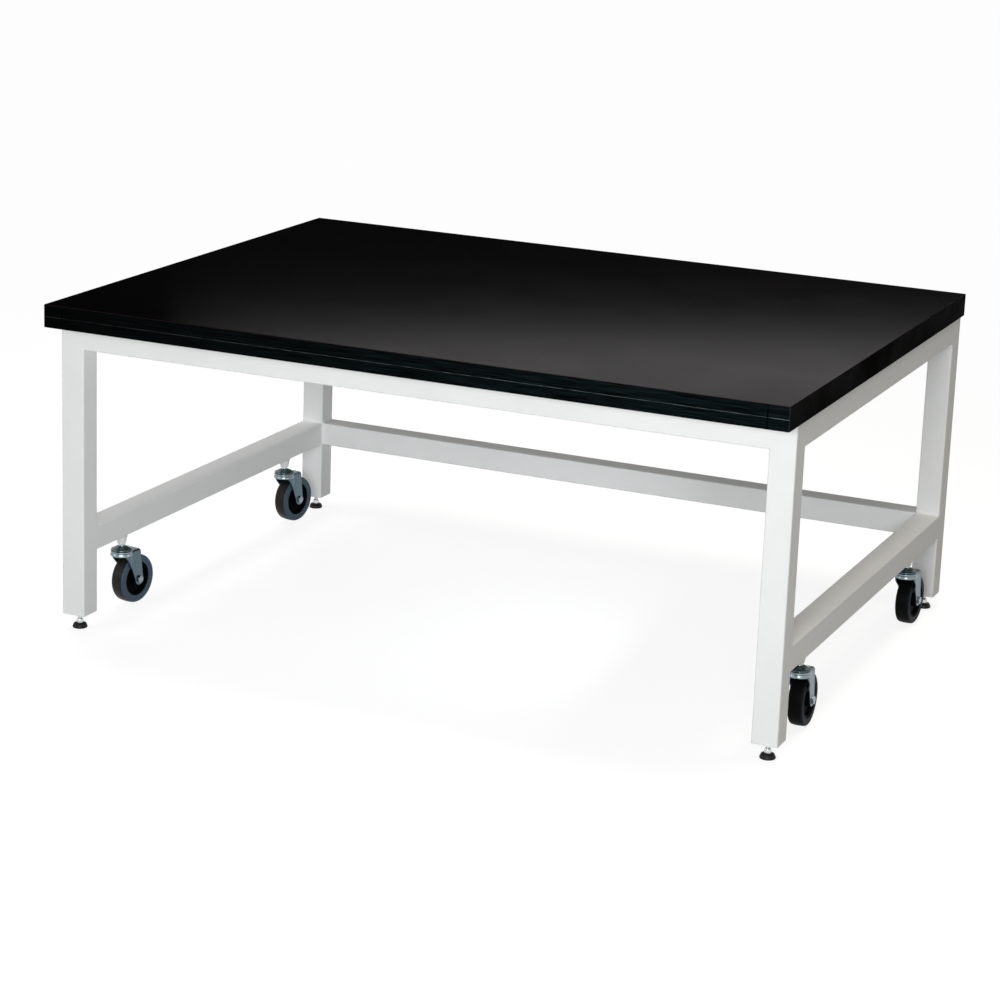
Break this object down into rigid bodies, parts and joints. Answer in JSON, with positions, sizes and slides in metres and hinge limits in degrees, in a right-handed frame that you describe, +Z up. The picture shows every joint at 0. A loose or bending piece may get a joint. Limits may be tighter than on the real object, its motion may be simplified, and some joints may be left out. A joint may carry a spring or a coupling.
{
  "type": "mobile instrument stand",
  "caption": "Low laboratory stand: a doubled black board top on a welded square-tube frame, with levelling feet under the legs and swivel casters beside them.",
  "frame": {"origin": "centre of the overall bounding box on the floor, z = 0 at the foot pads' bases", "axes": "+X along the long side to the right, +Y from the open front to the back, +Z up"},
  "size_m": [1.2, 0.9, 0.535],
  "materials": {
    "laminate": "satin",
    "board": "matt",
    "side_strip": "satin",
    "front_edging": "satin",
    "back_edging": "satin",
    "frame_paint": "semi-gloss powder coat",
    "leg_end_paint": "semi-gloss powder coat",
    "boss_paint": "semi-gloss powder coat",
    "fixing_screw": "zinc plated",
    "foot_rubber": "matt",
    "foot_zinc": "zinc plated",
    "stem_zinc": "zinc plated",
    "cap_zinc": "bright zinc",
    "ball_steel": "polished",
    "fork_zinc": "bright zinc, bluish",
    "axle_zinc": "bright zinc",
    "sleeve_steel": "plain",
    "hub_plastic": "satin",
    "tyre_rubber": "matt"
  },
  "bodies": {
    "frame": {"top_sheet": "laminate", "upper_board": "board", "lower_board": "board", "left_strip_lower": "side_strip", "left_strip_upper": "side_strip", "right_strip_lower": "side_strip", "right_strip_upper": "side_strip", "front_edging_lower": "front_edging", "front_edging_upper": "front_edging", "back_edging": "back_edging", "leg_front_left": "frame_paint", "leg_front_right": "frame_paint", "leg_back_left": "frame_paint", "leg_back_right": "frame_paint", "upper_rail_front": "frame_paint", "upper_rail_back": "frame_paint", "upper_rail_left": "frame_paint", "upper_rail_right": "frame_paint", "lower_rail_left": "frame_paint", "lower_rail_right": "frame_paint", "lower_rail_back": "frame_paint", "leg_end_plates": "leg_end_paint", "caster_bosses": "boss_paint", "top_fixing_screws": "fixing_screw", "caster_stems": "stem_zinc", "caster_caps": "cap_zinc", "caster_bearing_balls": "ball_steel"},
    "foot_front_left": {"foot_pad_front_left": "foot_rubber", "foot_stud_front_left": "foot_zinc"},
    "foot_front_right": {"foot_pad_front_right": "foot_rubber", "foot_stud_front_right": "foot_zinc"},
    "foot_back_left": {"foot_pad_back_left": "foot_rubber", "foot_stud_back_left": "foot_zinc"},
    "foot_back_right": {"foot_pad_back_right": "foot_rubber", "foot_stud_back_right": "foot_zinc"},
    "swivel_front_left": {"fork_front_left": "fork_zinc", "axle_bolt_front_left": "axle_zinc", "axle_nut_front_left": "axle_zinc", "axle_sleeve_front_left": "sleeve_steel"},
    "wheel_front_left": {"hub_front_left": "hub_plastic", "tyre_front_left": "tyre_rubber"},
    "swivel_front_right": {"fork_front_right": "fork_zinc", "axle_bolt_front_right": "axle_zinc", "axle_nut_front_right": "axle_zinc", "axle_sleeve_front_right": "sleeve_steel"},
    "wheel_front_right": {"hub_front_right": "hub_plastic", "tyre_front_right": "tyre_rubber"},
    "swivel_back_left": {"fork_back_left": "fork_zinc", "axle_bolt_back_left": "axle_zinc", "axle_nut_back_left": "axle_zinc", "axle_sleeve_back_left": "sleeve_steel"},
    "wheel_back_left": {"hub_back_left": "hub_plastic", "tyre_back_left": "tyre_rubber"},
    "swivel_back_right": {"fork_back_right": "fork_zinc", "axle_bolt_back_right": "axle_zinc", "axle_nut_back_right": "axle_zinc", "axle_sleeve_back_right": "sleeve_steel"},
    "wheel_back_right": {"hub_back_right": "hub_plastic", "tyre_back_right": "tyre_rubber"}
  },
  "joints": [
    {"name": "foot_front_left_level", "type": "slide", "parent": "frame", "child": "foot_front_left", "axis": [0, 0, 1], "range_m": [-0.02, 0.0085]},
    {"name": "foot_front_right_level", "type": "slide", "parent": "frame", "child": "foot_front_right", "axis": [0, 0, 1], "range_m": [-0.02, 0.0085]},
    {"name": "foot_back_left_level", "type": "slide", "parent": "frame", "child": "foot_back_left", "axis": [0, 0, 1], "range_m": [-0.02, 0.0085]},
    {"name": "foot_back_right_level", "type": "slide", "parent": "frame", "child": "foot_back_right", "axis": [0, 0, 1], "range_m": [-0.02, 0.0085]},
    {"name": "caster_front_left_swivel", "type": "hinge", "parent": "frame", "child": "swivel_front_left", "pos_m": [-0.578, -0.26, 0.09], "axis": [0, 0, 1], "continuous": true},
    {"name": "wheel_front_left_spin", "type": "hinge", "parent": "swivel_front_left", "child": "wheel_front_left", "pos_m": [-0.57378, -0.23333, 0.0425], "axis": [0.9877, -0.1564, 0], "continuous": true},
    {"name": "caster_front_right_swivel", "type": "hinge", "parent": "frame", "child": "swivel_front_right", "pos_m": [0.578, -0.26, 0.09], "axis": [0, 0, 1], "continuous": true},
    {"name": "wheel_front_right_spin", "type": "hinge", "parent": "swivel_front_right", "child": "wheel_front_right", "pos_m": [0.57753, -0.233, 0.0425], "axis": [0.9998, 0.0175, 0], "continuous": true},
    {"name": "caster_back_left_swivel", "type": "hinge", "parent": "frame", "child": "swivel_back_left", "pos_m": [-0.578, 0.293, 0.09], "axis": [0, 0, 1], "continuous": true},
    {"name": "wheel_back_left_spin", "type": "hinge", "parent": "swivel_back_left", "child": "wheel_back_left", "pos_m": [-0.57331, 0.31959, 0.0425], "axis": [0.9848, -0.1736, 0], "continuous": true},
    {"name": "caster_back_right_swivel", "type": "hinge", "parent": "frame", "child": "swivel_back_right", "pos_m": [0.578, 0.293, 0.09], "axis": [0, 0, 1], "continuous": true},
    {"name": "wheel_back_right_spin", "type": "hinge", "parent": "swivel_back_right", "child": "wheel_back_right", "pos_m": [0.57941, 0.31996, 0.0425], "axis": [0.9986, -0.0523, 0], "continuous": true}
  ]
}
